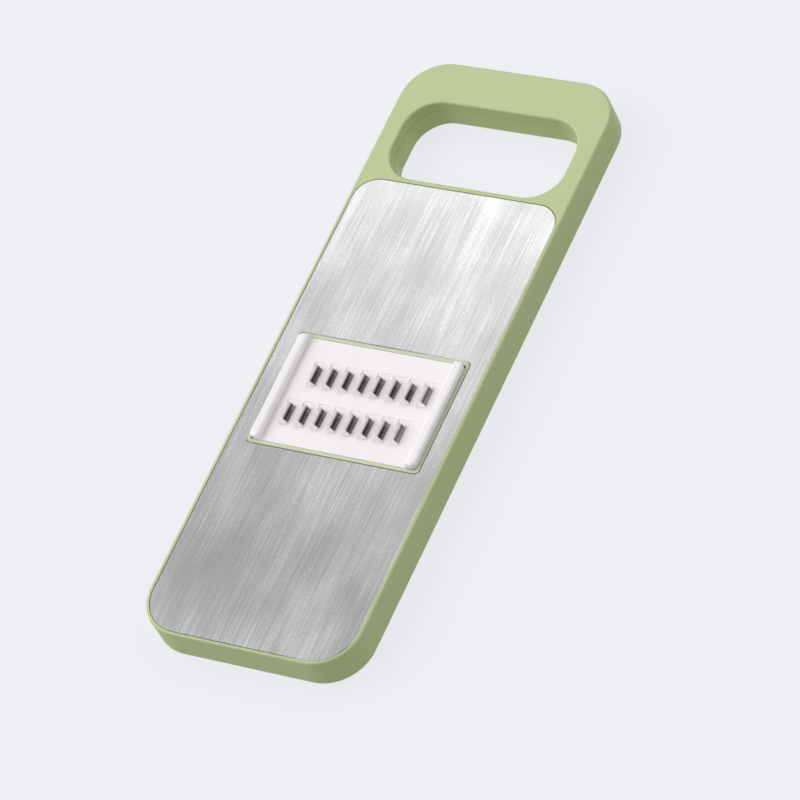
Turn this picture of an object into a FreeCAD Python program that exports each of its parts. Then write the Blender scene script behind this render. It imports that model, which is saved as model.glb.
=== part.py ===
import FreeCAD
import Part
import math
import os

from FreeCAD import Vector

# A hand-held mandoline slicer, in millimetres.
# X runs across the tool, Y along it towards the handle, Z up from the underside.
# The origin is under the middle of the body, on the surface that it lies on.

# ---- body ----
body_length = 290.0
body_width = 100.0
body_height = 15.0
body_corner_radius = 19.5
top_edge_radius = 1.2
bottom_edge_chamfer = 0.8
wall_thickness = 2.6
deck_thickness = 2.2

# ---- handle, with an opening for four fingers ----
grip_bar_width = 20.5
grip_side_width = 9.0
grip_opening_length = 40.0
grip_corner_radius = 15.0
grip_lip_thickness = 2.4
grip_seam_height = 10.0
grip_lap_height = 1.5
seam_gap = 0.08
grip_collar_inset = 0.1

# ---- brushed steel face plate and the film that bonds it ----
plate_thickness = 0.6
plate_edge_chamfer = 0.3
plate_side_border = 1.7
plate_front_border = 1.3
plate_to_grip = 2.3
plate_front_radius = 17.5
plate_back_radius = 10.6
plate_gap = 0.15
film_thickness = 0.15
film_inset = 1.0

# ---- pocket for the insert, and the chute below it ----
pocket_width = 78.2
pocket_length = 51.7
pocket_setback = 81.2
pocket_corner_radius = 0.8
pocket_rim_thickness = 1.5
pocket_depth = 4.0
plate_window_gap = 0.2
plate_window_radius = 2.0
ledge_width = 1.8
ledge_thickness = 1.8
chute_wall_thickness = 1.8
chute_mouth_chamfer = 0.6

# ---- back cover and the snap hooks that hold it ----
cover_thickness = 2.0
cover_rebate = 1.0
cover_clearance = 0.2
cover_edge_chamfer = 0.4
cover_upstand_height = 3.0
cover_upstand_thickness = 1.5
cover_rib_height = 3.0
hook_width = 8.0
hook_thickness = 1.2
hook_height = 5.0
hook_nose_height = 1.8
hook_nose_tip = 0.5
hook_nose_reach = 0.8
hook_wall_gap = 0.2
hook_flex_room = 1.0
catch_clearance = 0.1
hook_front_setback = 45.0

# ---- stiffening ribs ----
rib_thickness = 1.4
rib_height = 6.0
rib_pitch = 28.0
rib_column_offset = 17.0

# ---- insert: white panel with two side rails ----
insert_clearance = 0.2
insert_corner_radius = 2.0
panel_thickness = 2.0
skirt_thickness = 1.6
rail_width = 4.3
rail_height = 3.0
rail_edge_radius = 1.1
rail_wall_thickness = 1.3
crush_rib_width = 1.2
crush_rib_proud = 0.12
crush_rib_offset = 22.0
panel_rib_thickness = 1.2

# ---- teeth ----
teeth_per_row = 8
tooth_pitch = 7.46
tooth_height = 2.9
tooth_length = 8.3
tooth_flank_angle = 64.0
tooth_crest_radius = 0.7
tooth_bevel_length = 0.5
tooth_edge_thickness = 0.08
back_row_setback = 13.3
row_spacing = 19.4
hood_crown_length = 0.6
hood_foot_length = 1.1
hood_proud = 0.22
scoop_length = 2.9
scoop_width = 5.8
scoop_depth = 0.45
scoop_step = 0.2
slot_clearance = 0.12

# ---- blade strips, and the clamps staked over the panel's tabs to hold them ----
strip_thickness = 0.4
strip_mouth_land = 2.8
strip_tail_land = 3.0
strip_end_land = 2.6
clamp_thickness = 1.6
clamp_web_thickness = 1.5
clamp_window_clearance = 0.2
tab_width = 2.4
tab_length = 1.2
tab_clearance = 0.1
tab_head_spread = 0.4
tab_head_height = 0.6

# ---- room that a cutting tool runs past a face ----
overrun = 1.0


class Region:
    """A rectangle with round corners, seen from above."""

    def __init__(self, x_low, x_high, y_low, y_high, front_radius, back_radius):
        self.x_low = x_low
        self.x_high = x_high
        self.y_low = y_low
        self.y_high = y_high
        self.front_radius = front_radius
        self.back_radius = back_radius

    def grow(self, distance):
        """The same region with every side moved out by distance."""
        return Region(
            self.x_low - distance,
            self.x_high + distance,
            self.y_low - distance,
            self.y_high + distance,
            max(self.front_radius + distance, 0.0),
            max(self.back_radius + distance, 0.0),
        )

    def with_radius(self, radius):
        return Region(self.x_low, self.x_high, self.y_low, self.y_high, radius, radius)

    def middle_y(self):
        return (self.y_low + self.y_high) / 2


def centred_region(width, y_low, y_high, front_radius, back_radius):
    return Region(-width / 2, width / 2, y_low, y_high, front_radius, back_radius)


# ---- places worked out from the sizes above ----
body_front = -body_length / 2
body_back = body_length / 2
body_region = centred_region(body_width, body_front, body_back, body_corner_radius, body_corner_radius)

grip_back = body_back - grip_bar_width
grip_front = grip_back - grip_opening_length
grip_width = body_width - 2 * grip_side_width
grip_region = centred_region(grip_width, grip_front, grip_back, grip_corner_radius, grip_corner_radius)
grip_lap_start = grip_seam_height - grip_lap_height

recess_width = body_width - 2 * plate_side_border
recess_front = body_front + plate_front_border
recess_back = grip_front - plate_to_grip
recess_region = centred_region(
    recess_width,
    recess_front,
    recess_back,
    plate_front_radius + plate_gap,
    plate_back_radius + plate_gap,
)
plate_region = recess_region.grow(-plate_gap)
plate_underside = body_height - plate_thickness
recess_floor = plate_underside - film_thickness
deck_underside = recess_floor - deck_thickness

pocket_back = plate_region.y_high - pocket_setback
pocket_front = pocket_back - pocket_length
pocket_region = centred_region(
    pocket_width,
    pocket_front,
    pocket_back,
    pocket_corner_radius,
    pocket_corner_radius,
)
rim_region = pocket_region.grow(pocket_rim_thickness)
window_region = rim_region.grow(plate_window_gap).with_radius(plate_window_radius)
seat_height = body_height - pocket_depth
ledge_underside = seat_height - ledge_thickness
chute_region = pocket_region.grow(-ledge_width).with_radius(ledge_width)
chute_outer_region = chute_region.grow(chute_wall_thickness)

cavity_region = body_region.grow(-wall_thickness)
rebate_region = cavity_region.grow(cover_rebate)
cover_region = rebate_region.grow(-cover_clearance)
hook_top = cover_thickness + hook_height
hook_nose_bottom = hook_top - hook_nose_height

insert_region = pocket_region.grow(-insert_clearance).with_radius(insert_corner_radius)
panel_underside = body_height - panel_thickness
rail_inner_x = insert_region.x_high - rail_width
crest_height = body_height + tooth_height

strip_underside = panel_underside - strip_thickness
clamp_underside = strip_underside - clamp_thickness
row_mouths = [insert_region.y_high - back_row_setback]
row_mouths.append(row_mouths[0] - row_spacing)
row_shifts = [tooth_pitch / 4, -tooth_pitch / 4]


def outline(region, height):
    """Closed wire of a region: straight sides joined by corner arcs."""
    corners = [
        (region.x_high, region.y_low, region.front_radius, -45),
        (region.x_high, region.y_high, region.back_radius, 45),
        (region.x_low, region.y_high, region.back_radius, 135),
        (region.x_low, region.y_low, region.front_radius, 225),
    ]
    arcs = []
    for x, y, radius, middle_angle in corners:
        middle = math.radians(middle_angle)
        centre_x = x - math.copysign(radius, math.cos(middle))
        centre_y = y - math.copysign(radius, math.sin(middle))
        points = []
        for turn in (-45, 0, 45):
            angle = math.radians(middle_angle + turn)
            point_x = centre_x + radius * math.cos(angle)
            point_y = centre_y + radius * math.sin(angle)
            points.append(Vector(point_x, point_y, height))
        arcs.append(points)
    edges = []
    for index, points in enumerate(arcs):
        if points[0].distanceToPoint(points[2]) > 1e-6:
            edges.append(Part.Arc(*points).toShape())
        following = arcs[(index + 1) % len(arcs)]
        edges.append(Part.makeLine(points[2], following[0]))
    return Part.Wire(edges)


def prism(region, bottom, top):
    face = Part.Face(outline(region, bottom))
    return face.extrude(Vector(0, 0, top - bottom))


def box(x_low, x_high, y_low, y_high, bottom, top):
    corner = Vector(x_low, y_low, bottom)
    return Part.makeBox(x_high - x_low, y_high - y_low, top - bottom, corner)


def edges_at(shape, height, region):
    """Edges of a shape that lie flat at one height, inside a region."""
    found = []
    for edge in shape.Edges:
        bounds = edge.BoundBox
        flat = abs(bounds.ZMin - height) < 1e-4 and abs(bounds.ZMax - height) < 1e-4
        inside_x = bounds.XMin > region.x_low - 1e-3 and bounds.XMax < region.x_high + 1e-3
        inside_y = bounds.YMin > region.y_low - 1e-3 and bounds.YMax < region.y_high + 1e-3
        if flat and inside_x and inside_y:
            found.append(edge)
    return found


def hook_places():
    """Wall points of the snap hooks, each with the way its wall faces outwards, in degrees."""
    side = cavity_region.x_high
    stations = [
        body_front + hook_front_setback,
        pocket_region.middle_y(),
        (rim_region.y_high + grip_front) / 2,
    ]
    places = [(0, cavity_region.y_low, 270), (0, cavity_region.y_high, 90)]
    for y in stations:
        places.append((side, y, 0))
        places.append((-side, y, 180))
    return places


def placed_on_walls(shape):
    """Copies of a shape at every hook; it is made on a wall that faces +X."""
    copies = []
    for x, y, direction in hook_places():
        copy = shape.copy()
        copy.rotate(Vector(0, 0, 0), Vector(0, 0, 1), direction)
        copy.translate(Vector(x, y, 0))
        copies.append(copy)
    return copies


def snap_hook():
    """Springy arm with a nose that clicks into the body's wall."""
    back = -hook_wall_gap - hook_thickness
    front = -hook_wall_gap
    tip = front + hook_nose_reach
    profile = Part.makePolygon([
        Vector(back, -hook_width / 2, cover_thickness),
        Vector(front, -hook_width / 2, cover_thickness),
        Vector(front, -hook_width / 2, hook_nose_bottom),
        Vector(tip, -hook_width / 2, hook_nose_bottom),
        Vector(tip, -hook_width / 2, hook_nose_bottom + hook_nose_tip),
        Vector(front, -hook_width / 2, hook_top),
        Vector(back, -hook_width / 2, hook_top),
        Vector(back, -hook_width / 2, cover_thickness),
    ])
    return Part.Face(profile).extrude(Vector(0, hook_width, 0))


def hook_room():
    """Space in the body for one hook: the arm's room to flex, and the catch for its nose."""
    half = hook_width / 2 + hook_wall_gap
    back = -hook_wall_gap - hook_thickness - hook_flex_room
    catch = hook_nose_reach - hook_wall_gap + catch_clearance
    top = hook_top + catch_clearance
    arm_room = box(back, 0, -half, half, cover_thickness, top)
    nose_room = box(-overrun, catch, -half, half, hook_nose_bottom - catch_clearance, top)
    return arm_room.fuse(nose_room)


def rib_fields():
    """Stretches along Y that have ribs: in front of the pocket, and from it to the handle."""
    return [
        (cavity_region.y_low, rim_region.y_low),
        (rim_region.y_high, grip_front - grip_lip_thickness),
    ]


def deck_ribs():
    """Crossed ribs that hang under the deck."""
    bottom = deck_underside - rib_height
    side = cavity_region.x_high
    half = rib_thickness / 2
    ribs = []
    for low, high in rib_fields():
        for x in (-rib_column_offset, rib_column_offset):
            ribs.append(box(x - half, x + half, low, high, bottom, deck_underside))
        count = int((high - low) // rib_pitch)
        step = (high - low) / (count + 1)
        for index in range(count):
            y = low + step * (index + 1)
            ribs.append(box(-side, side, y - half, y + half, bottom, deck_underside))
    return ribs


def cover_ribs():
    """Low ribs along the cover, under the deck's long ribs."""
    top = cover_thickness + cover_rib_height
    half = rib_thickness / 2
    ribs = []
    for low, high in rib_fields():
        start = low + hook_thickness + hook_flex_room + hook_wall_gap
        end = high - cover_clearance - cover_upstand_thickness
        for x in (-rib_column_offset, rib_column_offset):
            ribs.append(box(x - half, x + half, start, end, cover_thickness, top))
    return ribs


def make_body_shell():
    """Green upper moulding: deck, skirt, finger opening and the insert's pocket."""
    block = prism(body_region, 0, body_height)
    block = block.makeFillet(top_edge_radius, edges_at(block, body_height, body_region))
    block = block.makeChamfer(bottom_edge_chamfer, edges_at(block, 0, body_region))
    block = block.cut(prism(grip_region, -overrun, body_height + overrun))
    block = block.makeFillet(top_edge_radius, edges_at(block, body_height, grip_region))

    standing = [
        prism(grip_region.grow(grip_lip_thickness), grip_lap_start, deck_underside),
        prism(rim_region, ledge_underside, deck_underside),
        prism(chute_outer_region, 0, deck_underside),
    ]
    standing.extend(deck_ribs())
    cavity = prism(cavity_region, -overrun, deck_underside).cut(standing)
    shell = block.cut(cavity)

    rebate = prism(rebate_region, -overrun, cover_thickness)
    rebate = rebate.cut(prism(chute_outer_region, -overrun, cover_thickness))
    lap_region = grip_region.grow(grip_lip_thickness / 2)
    lap = prism(lap_region, grip_lap_start - overrun, grip_seam_height)
    pocket = prism(pocket_region, seat_height, body_height + overrun)
    chute = prism(chute_region, -overrun, seat_height + overrun)
    shell = shell.cut([rebate, lap, pocket, chute])
    shell = shell.makeChamfer(chute_mouth_chamfer, edges_at(shell, 0, chute_region))

    rim = prism(rim_region, recess_floor, body_height + overrun)
    recess = prism(recess_region, recess_floor, body_height + overrun).cut(rim)
    return shell.cut([recess] + placed_on_walls(hook_room()))


def make_back_cover():
    """Green lower moulding: it closes the body and lines the finger opening."""
    cover = prism(cover_region, 0, cover_thickness)
    cover = cover.makeChamfer(cover_edge_chamfer, edges_at(cover, 0, cover_region))

    half_lip = grip_lip_thickness / 2
    outer_wall = prism(grip_region.grow(grip_lip_thickness), 0, grip_lap_start - seam_gap)
    inner_region = grip_region.grow(half_lip - cover_clearance)
    inner_wall = prism(inner_region, 0, grip_seam_height - seam_gap)
    upstand_region = chute_outer_region.grow(cover_clearance + cover_upstand_thickness)
    upstand = prism(upstand_region, 0, cover_thickness + cover_upstand_height)
    parts = [outer_wall, inner_wall, upstand]
    parts.extend(cover_ribs())
    parts.extend(placed_on_walls(snap_hook()))
    cover = cover.fuse(parts).removeSplitter()

    opening_region = grip_region.grow(-grip_collar_inset)
    outlet_region = chute_outer_region.grow(cover_clearance)
    cover = cover.cut([
        prism(opening_region, -overrun, body_height),
        prism(outlet_region, -overrun, body_height),
    ])
    return cover.makeChamfer(bottom_edge_chamfer, edges_at(cover, 0, opening_region))


def make_face_plate():
    """Brushed steel skin with a window for the insert, its edges broken with a small chamfer."""
    plate = prism(plate_region, plate_underside, body_height)
    plate = plate.cut(prism(window_region, plate_underside - overrun, body_height + overrun))
    sharp_edges = edges_at(plate, body_height, plate_region)
    return plate.makeChamfer(plate_edge_chamfer, sharp_edges)


def make_bonding_film():
    """Die-cut adhesive film between the deck and the steel."""
    film = prism(plate_region.grow(-film_inset), recess_floor, plate_underside)
    return film.cut(prism(window_region.grow(film_inset), recess_floor, plate_underside))


def tooth_half_width(offset, height):
    """Half the width of a tooth's tent at one height.

    The flanks are moved out by offset from the steel's outer face.
    """
    angle = math.radians(tooth_flank_angle)
    radius = tooth_crest_radius + offset
    below_centre = crest_height - tooth_crest_radius - height
    return (radius + below_centre * math.cos(angle)) / math.sin(angle)


def tooth_profile(offset, bottom):
    """Tent with two straight flanks and a round crest, or a sharp one where no radius is left."""
    angle = math.radians(tooth_flank_angle)
    radius = tooth_crest_radius + offset
    centre_z = crest_height - tooth_crest_radius
    foot = tooth_half_width(offset, bottom)
    left_foot = Vector(-foot, 0, bottom)
    right_foot = Vector(foot, 0, bottom)
    if radius > 1e-6:
        tangent_x = radius * math.sin(angle)
        tangent_z = centre_z + radius * math.cos(angle)
        left_top = Vector(-tangent_x, 0, tangent_z)
        right_top = Vector(tangent_x, 0, tangent_z)
        crest = [Part.Arc(left_top, Vector(0, 0, centre_z + radius), right_top).toShape()]
    else:
        left_top = Vector(0, 0, centre_z + radius / math.cos(angle))
        right_top = left_top
        crest = []
    left = [Part.makeLine(left_foot, left_top)]
    right = [Part.makeLine(right_top, right_foot), Part.makeLine(right_foot, left_foot)]
    return Part.Wire(left + crest + right)


def tooth_bar(x, y_low, y_high, offset, bottom):
    """A solid bar with the tooth's profile, from y_low to y_high."""
    face = Part.Face(tooth_profile(offset, bottom))
    bar = face.extrude(Vector(0, y_high - y_low, 0))
    bar.translate(Vector(x, y_low, 0))
    return bar


def tooth_columns(shift):
    first = -(teeth_per_row - 1) / 2 * tooth_pitch + shift
    return [first + index * tooth_pitch for index in range(teeth_per_row)]


def strip_region(mouth, shift):
    columns = tooth_columns(shift)
    reach = tooth_half_width(0, strip_underside) + strip_end_land
    return Region(
        columns[0] - reach,
        columns[-1] + reach,
        mouth - tooth_length - strip_tail_land,
        mouth + strip_mouth_land,
        0,
        0,
    )


def tab_places(mouth, shift):
    """Staking tabs on the strip's two lands, beside every second gap between teeth."""
    low = mouth - tooth_length - strip_tail_land / 2
    high = mouth + strip_mouth_land / 2
    places = []
    for column in tooth_columns(shift)[0::2]:
        places.append((column + tooth_pitch / 2, low))
        places.append((column + tooth_pitch / 2, high))
    return places


def tab_block(x, y, spread, bottom, top):
    """Upright block over a tab's place, spread past the tab's four sides."""
    half_width = tab_width / 2 + spread
    half_length = tab_length / 2 + spread
    return box(x - half_width, x + half_width, y - half_length, y + half_length, bottom, top)


def ground_wedge(x, mouth, tilt):
    """What is ground off one side of a tooth's mouth; tilt turns it about the crest, in degrees."""
    pivot_z = crest_height - tooth_crest_radius
    start = mouth - tooth_bevel_length
    depth = strip_thickness - tooth_edge_thickness
    reach = (crest_height - panel_underside) / 2
    profile = Part.makePolygon([
        Vector(-reach, start, crest_height),
        Vector(-reach, mouth, crest_height - depth),
        Vector(-reach, mouth, crest_height + overrun),
        Vector(-reach, start, crest_height + overrun),
        Vector(-reach, start, crest_height),
    ])
    wedge = Part.Face(profile).extrude(Vector(2 * reach, 0, 0))
    wedge.rotate(Vector(0, 0, pivot_z), Vector(0, 1, 0), tilt)
    wedge.translate(Vector(x, 0, 0))
    return wedge


def make_blade_strip(mouth, shift):
    """Steel strip with a row of raised loops, each ground sharp at its mouth."""
    tail = mouth - tooth_length
    columns = tooth_columns(shift)
    strip = prism(strip_region(mouth, shift), strip_underside, panel_underside)
    loops = [tooth_bar(x, tail, mouth, 0, strip_underside) for x in columns]
    strip = strip.fuse(loops)
    removed = []
    for x in columns:
        removed.append(tooth_bar(x, tail, mouth, -strip_thickness, strip_underside - overrun))
        for tilt in (-tooth_flank_angle, 0, tooth_flank_angle):
            removed.append(ground_wedge(x, mouth, tilt))
    for x, y in tab_places(mouth, shift):
        removed.append(tab_block(x, y, tab_clearance, strip_underside, panel_underside))
    return strip.cut(removed).removeSplitter()


def make_strip_clamp(mouth, shift):
    """White bar under a strip, open below every tooth and staked over the panel's tabs."""
    clamp = prism(strip_region(mouth, shift), clamp_underside, strip_underside)
    half = (tooth_pitch - clamp_web_thickness) / 2
    low = mouth - tooth_length - clamp_window_clearance
    high = mouth + clamp_window_clearance
    head_top = clamp_underside + tab_head_height
    head_spread = tab_head_spread + tab_clearance
    removed = []
    for x in tooth_columns(shift):
        removed.append(box(x - half, x + half, low, high, clamp_underside, strip_underside))
    for x, y in tab_places(mouth, shift):
        removed.append(tab_block(x, y, tab_clearance, clamp_underside, strip_underside))
        removed.append(tab_block(x, y, head_spread, clamp_underside, head_top))
    return clamp.cut(removed)


def make_rail(side):
    """Round-topped rail along one side of the insert; side is -1 or 1."""
    inner = side * rail_inner_x
    outer = side * insert_region.x_high
    top = body_height + rail_height
    rail = box(
        min(inner, outer),
        max(inner, outer),
        insert_region.y_low,
        insert_region.y_high,
        panel_underside,
        top,
    )
    corner_posts = []
    for edge in rail.Edges:
        bounds = edge.BoundBox
        upright = bounds.ZLength > rail_height
        on_outer_side = abs(bounds.XMin - outer) < 1e-4
        if upright and on_outer_side:
            corner_posts.append(edge)
    rail = rail.makeFillet(insert_corner_radius, corner_posts)
    return rail.makeFillet(rail_edge_radius, edges_at(rail, top, insert_region))


def rail_core(side):
    """Hollow under a rail, open below."""
    inner = side * (rail_inner_x + rail_wall_thickness)
    outer = side * (insert_region.x_high - rail_wall_thickness)
    return box(
        min(inner, outer),
        max(inner, outer),
        insert_region.y_low + skirt_thickness,
        insert_region.y_high - skirt_thickness,
        seat_height - overrun,
        body_height + rail_height - rail_wall_thickness,
    )


def crush_ribs():
    """Upright ridges on the insert's front and back faces, which rub in the pocket."""
    half = crush_rib_width / 2
    ribs = []
    for x in (-crush_rib_offset, crush_rib_offset):
        for y, way in ((insert_region.y_low, -1), (insert_region.y_high, 1)):
            profile = Part.makePolygon([
                Vector(x - half, y, seat_height),
                Vector(x + half, y, seat_height),
                Vector(x, y + way * crush_rib_proud, seat_height),
                Vector(x - half, y, seat_height),
            ])
            ribs.append(Part.Face(profile).extrude(Vector(0, 0, panel_underside - seat_height)))
    return ribs


def panel_rib():
    """Stiffener across the panel's underside, between the two strips."""
    low = strip_region(row_mouths[0], row_shifts[0]).y_low
    high = strip_region(row_mouths[1], row_shifts[1]).y_high
    middle = (low + high) / 2
    half = panel_rib_thickness / 2
    reach = insert_region.x_high - skirt_thickness
    return box(-reach, reach, middle - half, middle + half, seat_height, panel_underside)


def hood(x, mouth):
    """Wall that closes a tooth's rear end, thicker at its foot."""
    start = mouth - tooth_length - slot_clearance
    bar = tooth_bar(x, start - hood_foot_length, start, hood_proud, panel_underside)
    top = crest_height + hood_proud
    side = Part.makePolygon([
        Vector(x - tooth_pitch, start, panel_underside),
        Vector(x - tooth_pitch, start, top),
        Vector(x - tooth_pitch, start - hood_crown_length, top),
        Vector(x - tooth_pitch, start - hood_foot_length, body_height),
        Vector(x - tooth_pitch, start - hood_foot_length, panel_underside),
        Vector(x - tooth_pitch, start, panel_underside),
    ])
    wedge = Part.Face(side).extrude(Vector(2 * tooth_pitch, 0, 0))
    return bar.common(wedge)


def scoop(x, mouth):
    """Shallow dip in the panel that leads into a tooth's mouth, with a small step at its start."""
    half = scoop_width / 2
    side = Part.makePolygon([
        Vector(x - half, mouth, body_height - scoop_depth),
        Vector(x - half, mouth + scoop_length, body_height - scoop_step),
        Vector(x - half, mouth + scoop_length, body_height + overrun),
        Vector(x - half, mouth, body_height + overrun),
        Vector(x - half, mouth, body_height - scoop_depth),
    ])
    return Part.Face(side).extrude(Vector(scoop_width, 0, 0))


def make_insert_panel():
    """White moulding of the insert: panel, skirt, rails, hoods and staking tabs."""
    panel = prism(insert_region, seat_height, body_height)
    hollow_region = insert_region.grow(-skirt_thickness).with_radius(skirt_thickness / 2)
    hollow = prism(hollow_region, seat_height - overrun, panel_underside)
    additions = [make_rail(-1), make_rail(1), panel_rib()]
    additions.extend(crush_ribs())
    for mouth, shift in zip(row_mouths, row_shifts):
        for x in tooth_columns(shift):
            additions.append(hood(x, mouth))
    panel = panel.cut(hollow).fuse(additions)
    panel = panel.cut([rail_core(-1), rail_core(1)])

    for mouth, shift in zip(row_mouths, row_shifts):
        slots = []
        for x in tooth_columns(shift):
            tail = mouth - tooth_length - slot_clearance
            slots.append(tooth_bar(x, tail, mouth, slot_clearance, panel_underside - overrun))
            slots.append(scoop(x, mouth))
        panel = panel.cut(slots)
        head_top = clamp_underside + tab_head_height
        tabs = []
        for x, y in tab_places(mouth, shift):
            tabs.append(tab_block(x, y, 0, clamp_underside, panel_underside))
            tabs.append(tab_block(x, y, tab_head_spread, clamp_underside, head_top))
        panel = panel.fuse(tabs)
    return panel.removeSplitter()


def write_step(name, shape):
    path = os.path.join("parts", name + ".step")
    shape.exportStep(path)
    print(name, "solids", len(shape.Solids), "valid", shape.isValid(), "volume", round(shape.Volume, 1))


def main():
    os.makedirs("parts", exist_ok=True)
    write_step("body_shell", make_body_shell())
    write_step("back_cover", make_back_cover())
    write_step("face_plate", make_face_plate())
    write_step("bonding_film", make_bonding_film())
    write_step("insert_panel", make_insert_panel())
    for name, mouth, shift in zip(("back", "front"), row_mouths, row_shifts):
        write_step("blade_strip_" + name, make_blade_strip(mouth, shift))
        write_step("strip_clamp_" + name, make_strip_clamp(mouth, shift))


main()
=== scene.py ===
import bpy
import math
from mathutils import Matrix, Vector


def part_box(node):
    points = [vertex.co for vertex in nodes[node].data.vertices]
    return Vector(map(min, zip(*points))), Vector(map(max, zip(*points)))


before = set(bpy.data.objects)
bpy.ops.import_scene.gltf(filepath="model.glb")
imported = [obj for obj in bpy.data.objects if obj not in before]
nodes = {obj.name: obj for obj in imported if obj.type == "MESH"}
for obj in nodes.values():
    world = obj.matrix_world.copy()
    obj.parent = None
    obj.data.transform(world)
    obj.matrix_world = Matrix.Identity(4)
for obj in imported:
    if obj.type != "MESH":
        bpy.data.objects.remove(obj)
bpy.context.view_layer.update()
mm = 0.001   # the scene is in metres
print("loaded", len(nodes), "nodes")


def linear(hexColour):
    # sRGB hex to the linear colour that a shader takes
    digits = hexColour.lstrip("#")
    parts = [int(digits[i:i + 2], 16) / 255 for i in (0, 2, 4)]
    curved = [c / 12.92 if c <= 0.04045 else ((c + 0.055) / 1.055) ** 2.4 for c in parts]
    return (*curved, 1.0)


def addNode(material, kind, inputs=None, stops=(), **settings):
    # one node with its settings; an input is a constant, or a pair of another node and its output;
    # stops are the positions and colours of a ramp, from its low end up
    node = material.node_tree.nodes.new(kind)
    for name, value in settings.items():
        setattr(node, name, value)
    for socket, value in (inputs or {}).items():
        if isinstance(value, tuple) and len(value) == 2:
            source, output = value
            material.node_tree.links.new(source.outputs[output], node.inputs[socket])
        else:
            node.inputs[socket].default_value = value
    for index, (position, colour) in enumerate(stops):
        elements = node.color_ramp.elements
        element = elements[index] if index < 2 else elements.new(position)   # a ramp starts with two
        element.position = position
        element.color = colour
    return node


def newMaterial(name):
    material = bpy.data.materials.new(name)
    material.use_nodes = True
    material.node_tree.nodes.clear()
    return material


def giveFinish(node, finish):
    # gives a CAD node its finish, in place of the one that it came with
    part = nodes[node]
    part.data.materials.clear()
    part.data.materials.append(None)
    for slot in part.material_slots:
        slot.link = "OBJECT"
        slot.material = finish


# body: sage green ABS, injection moulded
body = {
    "topColour": "#b0bd8b",
    "mottle": "#adb987",
    "wallShadeColour": "#a3b274",   # painted shade: the polished side walls are coloured a deeper green than the top
    "rimColour": "#bec4a6",    # the pocket's rim round the insert is coloured paler
    "rimMm": 1.8,              # how far the rim reaches out from the insert
    "rimDepthMm": 0.5,         # how far down from the top the rim is coloured paler
    "flowMm": 45.0,            # slow drift of colour across the moulding
    "grainMm": 0.35,           # spark-eroded grain, really 0.05 mm, drawn coarser so that it shows
    "grainDepthMm": 0.01,
    "grainBump": 0.35,
    "grainGloss": 0.12,        # how much the grain varies the roughness
    "topRoughness": 0.46,
    "wallRoughness": 0.34,
    "ior": 1.54,
}


def mouldedGreenAbs():
    # an even satin colour: the flat top is slightly grained and the drawn side walls are smoother;
    # the side walls are coloured a deeper green as painted shade, and the rim round the insert is paler
    finish = newMaterial("mouldedGreenAbs")
    coords = addNode(finish, "ShaderNodeTexCoord")
    flow = addNode(finish, "ShaderNodeTexNoise", {
        "Vector": (coords, "Object"), "Scale": 1 / (body["flowMm"] * mm), "Detail": 2.0,
    })
    grain = addNode(finish, "ShaderNodeTexNoise", {
        "Vector": (coords, "Object"), "Scale": 1 / (body["grainMm"] * mm), "Detail": 3.0, "Roughness": 0.6,
    })
    geometry = addNode(finish, "ShaderNodeNewGeometry")
    facing = addNode(finish, "ShaderNodeSeparateXYZ", {"Vector": (geometry, "Normal")})
    flat = addNode(finish, "ShaderNodeMath", {0: (facing, "Z")}, operation="ABSOLUTE")
    top = addNode(finish, "ShaderNodeMix", {
        "Factor": (flow, "Fac"), "A": linear(body["topColour"]), "B": linear(body["mottle"]),
    }, data_type="RGBA")
    # painted shade: faces that turn away from up take the deeper wall colour
    tint = addNode(finish, "ShaderNodeMix", {
        "Factor": (flat, "Value"), "A": linear(body["wallShadeColour"]), "B": (top, "Result"),
    }, data_type="RGBA")

    low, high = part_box("insert_panel")
    middle, half = (low + high) / 2, (high - low) / 2
    reach = body["rimMm"] * mm
    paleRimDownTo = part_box("body_shell")[1].z - body["rimDepthMm"] * mm
    place = addNode(finish, "ShaderNodeSeparateXYZ", {"Vector": (coords, "Object")})
    nearX = addNode(finish, "ShaderNodeMath", {
        0: (place, "X"), 1: middle.x, 2: half.x + reach,
    }, operation="COMPARE")
    nearY = addNode(finish, "ShaderNodeMath", {
        0: (place, "Y"), 1: middle.y, 2: half.y + reach,
    }, operation="COMPARE")
    near = addNode(finish, "ShaderNodeMath", {
        0: (nearX, "Value"), 1: (nearY, "Value"),
    }, operation="MULTIPLY")
    above = addNode(finish, "ShaderNodeMath", {
        0: (place, "Z"), 1: paleRimDownTo,
    }, operation="GREATER_THAN")
    paleRim = addNode(finish, "ShaderNodeMath", {
        0: (near, "Value"), 1: (above, "Value"),
    }, operation="MULTIPLY")
    # the pocket's rim round the insert, near the top, takes the paler rim colour
    colour = addNode(finish, "ShaderNodeMix", {
        "Factor": (paleRim, "Value"), "A": (tint, "Result"), "B": linear(body["rimColour"]),
    }, data_type="RGBA")

    smooth = addNode(finish, "ShaderNodeMapRange", {
        "Value": (flat, "Value"), "To Min": body["wallRoughness"], "To Max": body["topRoughness"],
    })
    rough = addNode(finish, "ShaderNodeMath", {
        0: (grain, "Fac"), 1: body["grainGloss"], 2: (smooth, "Result"),
    }, operation="MULTIPLY_ADD")
    bump = addNode(finish, "ShaderNodeBump", {
        "Height": (grain, "Fac"), "Strength": body["grainBump"], "Distance": body["grainDepthMm"] * mm,
    })
    shader = addNode(finish, "ShaderNodeBsdfPrincipled", {
        "Base Color": (colour, "Result"), "Roughness": (rough, "Value"),
        "Normal": (bump, "Normal"), "IOR": body["ior"],
    })
    addNode(finish, "ShaderNodeOutputMaterial", {"Surface": (shader, "BSDF")})
    return finish


green = mouldedGreenAbs()
giveFinish("body_shell", green)
giveFinish("back_cover", green)
print("body done")


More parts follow.
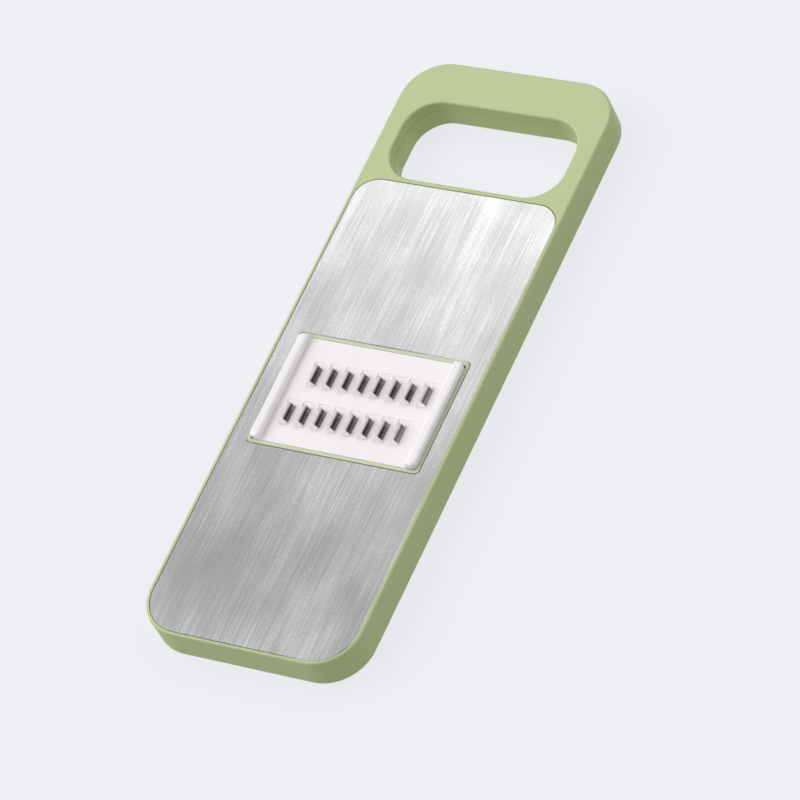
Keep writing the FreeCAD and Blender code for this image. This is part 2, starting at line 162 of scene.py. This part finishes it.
# face plate: 0.6 mm stainless steel, belt-brushed along its length
plate = {
    "dark": "#b8b7b7",
    "light": "#edecec",
    "fineLineMm": 0.25,        # grit lines, really 0.05 mm, drawn coarser so that they show
    "fineLengthMm": 40.0,
    "broadLineMm": 0.7,
    "broadLengthMm": 45.0,
    "broadShare": 0.45,        # a share is how much a pattern adds; the fine lines add 1
    "pitMm": 0.35,             # short grit marks between the lines
    "pitLengthMm": 1.4,
    "pitShare": 0.5,
    "cloudMm": 26.0,           # patches where the belt pressed harder
    "cloudLengthMm": 52.0,
    "cloudShare": 0.8,
    "darkAt": 1.1,             # sums of all the patterns that give the dark and the light colour
    "lightAt": 1.65,
    "darkLean": 1.6,           # above 1 leaves more of the plate dark
    "smoothAt": 0.7,           # sums of the lines and pits that give the two roughnesses
    "roughAt": 1.4,
    "smoothest": 0.29,
    "roughest": 0.32,
    "lineBump": 0.08,
    "lineDepthMm": 0.02,
    "anisotropy": 0.88,
}


def brushedStainless():
    # short bright and dark lines along the plate over soft clouds; light smears across the lines
    finish = newMaterial("brushedStainless")
    coords = addNode(finish, "ShaderNodeTexCoord")

    def alongY(width, length, shift):
        # noise drawn out into lines of one width and length in mm; the shift keeps patterns apart
        mapping = addNode(finish, "ShaderNodeMapping", {
            "Vector": (coords, "Object"), "Location": shift, "Scale": (1.0, width / length, 1.0),
        })
        return addNode(finish, "ShaderNodeTexNoise", {
            "Vector": (mapping, "Vector"), "Scale": 1 / (width * mm), "Detail": 2.0, "Roughness": 0.6,
        })

    fine = alongY(plate["fineLineMm"], plate["fineLengthMm"], (0.0, 0.0, 0.0))
    broad = alongY(plate["broadLineMm"], plate["broadLengthMm"], (0.31, 0.07, 0.0))
    cloud = alongY(plate["cloudMm"], plate["cloudLengthMm"], (0.9, 0.4, 0.0))
    pits = alongY(plate["pitMm"], plate["pitLengthMm"], (0.53, 0.29, 0.0))
    pitted = addNode(finish, "ShaderNodeMath", {
        0: (pits, "Fac"), 1: plate["pitShare"], 2: (fine, "Fac"),
    }, operation="MULTIPLY_ADD")
    lines = addNode(finish, "ShaderNodeMath", {
        0: (broad, "Fac"), 1: plate["broadShare"], 2: (pitted, "Value"),
    }, operation="MULTIPLY_ADD")
    mixed = addNode(finish, "ShaderNodeMath", {
        0: (cloud, "Fac"), 1: plate["cloudShare"], 2: (lines, "Value"),
    }, operation="MULTIPLY_ADD")
    spread = addNode(finish, "ShaderNodeMapRange", {
        "Value": (mixed, "Value"), "From Min": plate["darkAt"], "From Max": plate["lightAt"],
    })
    shade = addNode(finish, "ShaderNodeMath", {
        0: (spread, "Result"), 1: plate["darkLean"],
    }, operation="POWER")
    tint = addNode(finish, "ShaderNodeMix", {
        "Factor": (shade, "Value"), "A": linear(plate["dark"]), "B": linear(plate["light"]),
    }, data_type="RGBA")
    rough = addNode(finish, "ShaderNodeMapRange", {
        "Value": (lines, "Value"), "From Min": plate["smoothAt"], "From Max": plate["roughAt"],
        "To Min": plate["smoothest"], "To Max": plate["roughest"],
    })
    bump = addNode(finish, "ShaderNodeBump", {
        "Height": (fine, "Fac"), "Strength": plate["lineBump"], "Distance": plate["lineDepthMm"] * mm,
    })
    across = addNode(finish, "ShaderNodeTangent", direction_type="RADIAL", axis="Y")
    shader = addNode(finish, "ShaderNodeBsdfPrincipled", {
        "Base Color": (tint, "Result"), "Metallic": 1.0, "Roughness": (rough, "Result"),
        "Anisotropic": plate["anisotropy"], "Tangent": (across, "Tangent"), "Normal": (bump, "Normal"),
    })
    addNode(finish, "ShaderNodeOutputMaterial", {"Surface": (shader, "BSDF")})
    return finish


giveFinish("face_plate", brushedStainless())
print("face plate done")


# insert: white ABS, injection moulded
insert = {
    "flatColour": "#e6e2e4",
    "mottle": "#e2dee0",
    "slopeLitColour": "#fcfafc",   # painted light: the hoods and the sides of the rails are coloured whiter than the flat panel
    "flatNormal": 0.97,         # upward part of the normal where the flat colour ends
    "slopeNormal": 0.8,         # and where the slope's colour is full
    "flowMm": 12.0,             # slow drift of colour and gloss
    "smoothest": 0.26,
    "roughest": 0.36,
    "peelMm": 1.5,              # faint waves from the mould
    "peelBump": 0.1,
    "peelDepthMm": 0.02,
    "ior": 1.54,
}


def mouldedWhiteAbs():
    # a clean soft white with a faint gloss from a polished mould
    finish = newMaterial("mouldedWhiteAbs")
    coords = addNode(finish, "ShaderNodeTexCoord")
    flow = addNode(finish, "ShaderNodeTexNoise", {
        "Vector": (coords, "Object"), "Scale": 1 / (insert["flowMm"] * mm), "Detail": 2.0,
    })
    geometry = addNode(finish, "ShaderNodeNewGeometry")
    facing = addNode(finish, "ShaderNodeSeparateXYZ", {"Vector": (geometry, "Normal")})
    slope = addNode(finish, "ShaderNodeMapRange", {
        "Value": (facing, "Z"), "From Min": insert["flatNormal"], "From Max": insert["slopeNormal"],
    })
    face = addNode(finish, "ShaderNodeMix", {
        "Factor": (flow, "Fac"), "A": linear(insert["flatColour"]), "B": linear(insert["mottle"]),
    }, data_type="RGBA")
    # painted light: faces that slope away from up are coloured whiter
    tint = addNode(finish, "ShaderNodeMix", {
        "Factor": (slope, "Result"), "A": (face, "Result"), "B": linear(insert["slopeLitColour"]),
    }, data_type="RGBA")
    rough = addNode(finish, "ShaderNodeMapRange", {
        "Value": (flow, "Fac"), "To Min": insert["smoothest"], "To Max": insert["roughest"],
    })
    peel = addNode(finish, "ShaderNodeTexNoise", {
        "Vector": (coords, "Object"), "Scale": 1 / (insert["peelMm"] * mm), "Detail": 1.0,
    })
    bump = addNode(finish, "ShaderNodeBump", {
        "Height": (peel, "Fac"), "Strength": insert["peelBump"], "Distance": insert["peelDepthMm"] * mm,
    })
    shader = addNode(finish, "ShaderNodeBsdfPrincipled", {
        "Base Color": (tint, "Result"), "Roughness": (rough, "Result"),
        "Normal": (bump, "Normal"), "IOR": insert["ior"],
    })
    addNode(finish, "ShaderNodeOutputMaterial", {"Surface": (shader, "BSDF")})
    return finish


white = mouldedWhiteAbs()
for name in ("insert_panel", "strip_clamp_back", "strip_clamp_front"):
    giveFinish(name, white)
print("insert done")


# teeth: hardened stainless strip, rolled and then ground at each mouth
teeth = {
    # the foot, flank and crest colours are painted reflection and highlight, set by height
    "foot": "#918d89",
    "flank": "#615e5c",
    "crest": "#d2d1d0",        # painted highlight: the crest is coloured bright
    "ground": "#dcdcde",
    "heightMm": 2.9,           # from the face up to the crest
    "footEnds": 0.3,           # shares of that height where each colour ends or starts
    "flankStarts": 0.48,
    "flankEnds": 0.68,
    "crestStarts": 0.9,
    "wornStarts": 0.65,        # the same for the crest's rougher finish
    "lineMm": 0.12,            # rolling lines, drawn four times coarser than they are
    "lineLengthMm": 6.0,
    "lineShade": 0.86,         # the darkest lines multiply the colour by this
    "lineGloss": 0.1,          # how much the lines vary the roughness
    "lineBump": 0.15,
    "lineDepthMm": 0.01,
    "flankRoughness": 0.2,
    "crestRoughness": 0.45,
    "groundRoughness": 0.3,
    "groundMm": 0.5,           # length of the ground edge
    "blendMm": 0.1,            # half the width of its soft border
    "mouthMarginMm": 0.2,      # how far past the mouth the steel still counts as ground
    "landMm": 2.8,             # flat steel in front of the mouth
}


def rolledBladeSteel(node):
    # a near mirror with faint lines and a brighter ground edge; the dark flank is a painted reflection of
    # its neighbour, and the bright crest a painted highlight
    finish = newMaterial("rolledBladeSteel" + node[-5:])
    coords = addNode(finish, "ShaderNodeTexCoord")
    mapping = addNode(finish, "ShaderNodeMapping", {
        "Vector": (coords, "Object"), "Scale": (1.0, teeth["lineMm"] / teeth["lineLengthMm"], 1.0),
    })
    lines = addNode(finish, "ShaderNodeTexNoise", {
        "Vector": (mapping, "Vector"), "Scale": 1 / (teeth["lineMm"] * mm), "Detail": 2.0,
    })
    place = addNode(finish, "ShaderNodeSeparateXYZ", {"Vector": (coords, "Object")})
    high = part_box(node)[1]
    height = addNode(finish, "ShaderNodeMapRange", {
        "Value": (place, "Z"), "From Min": high.z - teeth["heightMm"] * mm, "From Max": high.z,
    })
    # painted reflection and highlight: the steel is coloured by height, lighter at the foot, dark on the
    # flank and bright at the crest
    drawn = addNode(finish, "ShaderNodeValToRGB", {"Fac": (height, "Result")}, stops=[
        (teeth["footEnds"], linear(teeth["foot"])),
        (teeth["flankStarts"], linear(teeth["flank"])),
        (teeth["flankEnds"], linear(teeth["flank"])),
        (teeth["crestStarts"], linear(teeth["crest"])),
    ])
    # nearly all of the noise lies between these two positions
    shade = teeth["lineShade"]
    rolled = addNode(finish, "ShaderNodeValToRGB", {"Fac": (lines, "Fac")}, stops=[
        (0.25, (shade, shade, shade, 1.0)),
        (0.75, (1.0, 1.0, 1.0, 1.0)),
    ])
    steel = addNode(finish, "ShaderNodeMix", {
        "Factor": 1.0, "A": (drawn, "Color"), "B": (rolled, "Color"),
    }, data_type="RGBA", blend_type="MULTIPLY")
    polish = addNode(finish, "ShaderNodeMapRange", {
        "Value": (height, "Result"),
        "From Min": teeth["wornStarts"], "From Max": teeth["crestStarts"],
        "To Min": teeth["flankRoughness"], "To Max": teeth["crestRoughness"],
    })

    # the ground edge reaches back from the mouth, which lies behind the flat land
    mouth = high.y - teeth["landMm"] * mm
    border = mouth - teeth["groundMm"] * mm
    blend = teeth["blendMm"] * mm
    edge = addNode(finish, "ShaderNodeMapRange", {
        "Value": (place, "Y"), "From Min": border - blend, "From Max": border + blend,
    })
    behind = addNode(finish, "ShaderNodeMath", {
        0: (place, "Y"), 1: mouth + teeth["mouthMarginMm"] * mm,
    }, operation="LESS_THAN")
    ground = addNode(finish, "ShaderNodeMath", {
        0: (edge, "Result"), 1: (behind, "Value"),
    }, operation="MULTIPLY")
    tint = addNode(finish, "ShaderNodeMix", {
        "Factor": (ground, "Value"), "A": (steel, "Result"), "B": linear(teeth["ground"]),
    }, data_type="RGBA")
    grit = addNode(finish, "ShaderNodeMath", {
        0: (lines, "Fac"), 1: teeth["lineGloss"], 2: (polish, "Result"),
    }, operation="MULTIPLY_ADD")
    rough = addNode(finish, "ShaderNodeMix", {
        "Factor": (ground, "Value"), "A": (grit, "Value"), "B": teeth["groundRoughness"],
    })
    bump = addNode(finish, "ShaderNodeBump", {
        "Height": (lines, "Fac"), "Strength": teeth["lineBump"], "Distance": teeth["lineDepthMm"] * mm,
    })
    shader = addNode(finish, "ShaderNodeBsdfPrincipled", {
        "Base Color": (tint, "Result"), "Metallic": 1.0, "Roughness": (rough, "Result"),
        "Normal": (bump, "Normal"),
    })
    addNode(finish, "ShaderNodeOutputMaterial", {"Surface": (shader, "BSDF")})
    return finish


for name in ("blade_strip_back", "blade_strip_front"):
    giveFinish(name, rolledBladeSteel(name))
print("teeth done")


# bonding film: acrylic double-sided film, die cut
film = {
    "colour": "#b9b9b4",
    "hollowShadeColour": "#b0b0ab",   # painted shade in the dips of the orange peel
    "peelMm": 2.0,
    "peelBump": 0.3,
    "peelDepthMm": 0.03,
    "roughness": 0.5,
    "ior": 1.47,
}


def castAcrylicFilm():
    # a greyish film with a slight orange peel
    finish = newMaterial("castAcrylicFilm")
    coords = addNode(finish, "ShaderNodeTexCoord")
    peel = addNode(finish, "ShaderNodeTexNoise", {
        "Vector": (coords, "Object"), "Scale": 1 / (film["peelMm"] * mm), "Detail": 2.0,
    })
    # painted shade: the film is coloured darker where the peel dips
    # most of the noise lies between these two positions
    tint = addNode(finish, "ShaderNodeValToRGB", {"Fac": (peel, "Fac")}, stops=[
        (0.3, linear(film["hollowShadeColour"])),
        (0.7, linear(film["colour"])),
    ])
    bump = addNode(finish, "ShaderNodeBump", {
        "Height": (peel, "Fac"), "Strength": film["peelBump"], "Distance": film["peelDepthMm"] * mm,
    })
    shader = addNode(finish, "ShaderNodeBsdfPrincipled", {
        "Base Color": (tint, "Color"), "Roughness": film["roughness"],
        "Normal": (bump, "Normal"), "IOR": film["ior"],
    })
    addNode(finish, "ShaderNodeOutputMaterial", {"Surface": (shader, "BSDF")})
    return finish


giveFinish("bonding_film", castAcrylicFilm())
print("film done")


# studio: a table lit from below, with soft panels of light round it
studio = {
    "floorColour": "#edeef2",
    "floorGlow": 0.88,        # share of the floor's light that comes from below, as on a light table
    "floorBounce": 0.82,      # share of that glow that reaches the slicer's walls
    "floorRoughness": 0.9,
    "floorSize": 8.0,
    "floorGapMm": 0.2,        # keeps the floor clear of the underside
    "worldStrength": 0.15,
    "worldColour": "#f6f7fa",
    # direction, distance, width and height, brightness, roll in degrees; lengths are in metres
    "panels": {
        "backPanel": ((0.0, 0.634, 0.773), 2.7, (3.6, 0.9), 2.3, 9),
        "backLowPanel": ((0.0, 0.85, 0.53), 2.7, (3.6, 0.75), 0.95, 9),
        "overPanel": ((0.0, -0.65, 1.0), 4.0, (3.2, 1.8), 0.85, 0),
        "leftPanel": ((-0.85, -0.09, 0.65), 6.0, (5.4, 4.4), 4.3, 0),
        "frontPanel": ((-0.5, -0.56, 0.66), 6.0, (2.4, 2.4), 2.3, 0),
        "lowPanel": ((0.35, -0.85, 0.42), 6.0, (9.0, 2.8), 0.34, 0),
        "rightPanel": ((0.8, 0.25, 0.6), 6.0, (5.0, 4.0), 1.45, 0),
    },
}
floorMesh = bpy.data.meshes.new("floor")
half = studio["floorSize"] / 2
corners = [(-half, -half, 0), (half, -half, 0), (half, half, 0), (-half, half, 0)]
floorMesh.from_pydata(corners, [], [(0, 1, 2, 3)])
floor = bpy.data.objects.new("floor", floorMesh)
bpy.context.scene.collection.objects.link(floor)
floor.location.z = -studio["floorGapMm"] * mm


def litAcrylicTable():
    # a pale even table lit from below, so that shadows on it stay faint
    finish = newMaterial("litAcrylicTable")
    colour = linear(studio["floorColour"])
    unlit = [c * (1 - studio["floorGlow"]) for c in colour[:3]]
    path = addNode(finish, "ShaderNodeLightPath")
    glow = addNode(finish, "ShaderNodeMapRange", {
        "Value": (path, "Is Camera Ray"),
        "To Min": studio["floorGlow"] * studio["floorBounce"], "To Max": studio["floorGlow"],
    })
    shader = addNode(finish, "ShaderNodeBsdfPrincipled", {
        "Base Color": (*unlit, 1.0), "Roughness": studio["floorRoughness"],
        "Specular IOR Level": 0.0, "Emission Color": colour, "Emission Strength": (glow, "Result"),
    })
    addNode(finish, "ShaderNodeOutputMaterial", {"Surface": (shader, "BSDF")})
    return finish


floorMesh.materials.append(litAcrylicTable())

world = bpy.data.worlds.new("studio")
bpy.context.scene.world = world
world.use_nodes = True
background = world.node_tree.nodes["Background"]
background.inputs["Color"].default_value = linear(studio["worldColour"])
background.inputs["Strength"].default_value = studio["worldStrength"]


def addPanel(name, direction, distance, size, brightness, roll):
    # a flat panel of light that faces the slicer; brightness is how bright the panel itself looks
    data = bpy.data.lights.new(name, "AREA")
    data.shape = "RECTANGLE"
    data.size, data.size_y = size
    data.energy = brightness * math.pi * size[0] * size[1]
    light = bpy.data.objects.new(name, data)
    bpy.context.scene.collection.objects.link(light)
    light.location = Vector(direction).normalized() * distance
    facing = (-light.location).to_track_quat("-Z", "Y").to_matrix()
    light.rotation_euler = (facing @ Matrix.Rotation(math.radians(roll), 3, "Z")).to_euler()


for name, settings in studio["panels"].items():
    addPanel(name, *settings)
print("studio done")

# camera: a long lens from the front right, well above the slicer
view = {
    "lensMm": 226.0608,
    "sensorMm": 36.0,
    "clipEnd": 50.0,
    "location": (1.0050136, -0.8914479, 1.5502729),
    "rotationDegrees": (36.57528053, 19.04397325, 24.8406145),
}
cameraData = bpy.data.cameras.new("camera")
cameraData.lens = view["lensMm"]
cameraData.sensor_width = view["sensorMm"]
cameraData.clip_end = view["clipEnd"]
camera = bpy.data.objects.new("camera", cameraData)
bpy.context.scene.collection.objects.link(camera)
camera.location = view["location"]
camera.rotation_euler = [math.radians(angle) for angle in view["rotationDegrees"]]
bpy.context.scene.camera = camera
bpy.context.scene.view_settings.view_transform = "Standard"
bpy.context.scene.view_settings.look = "None"
print("camera done")
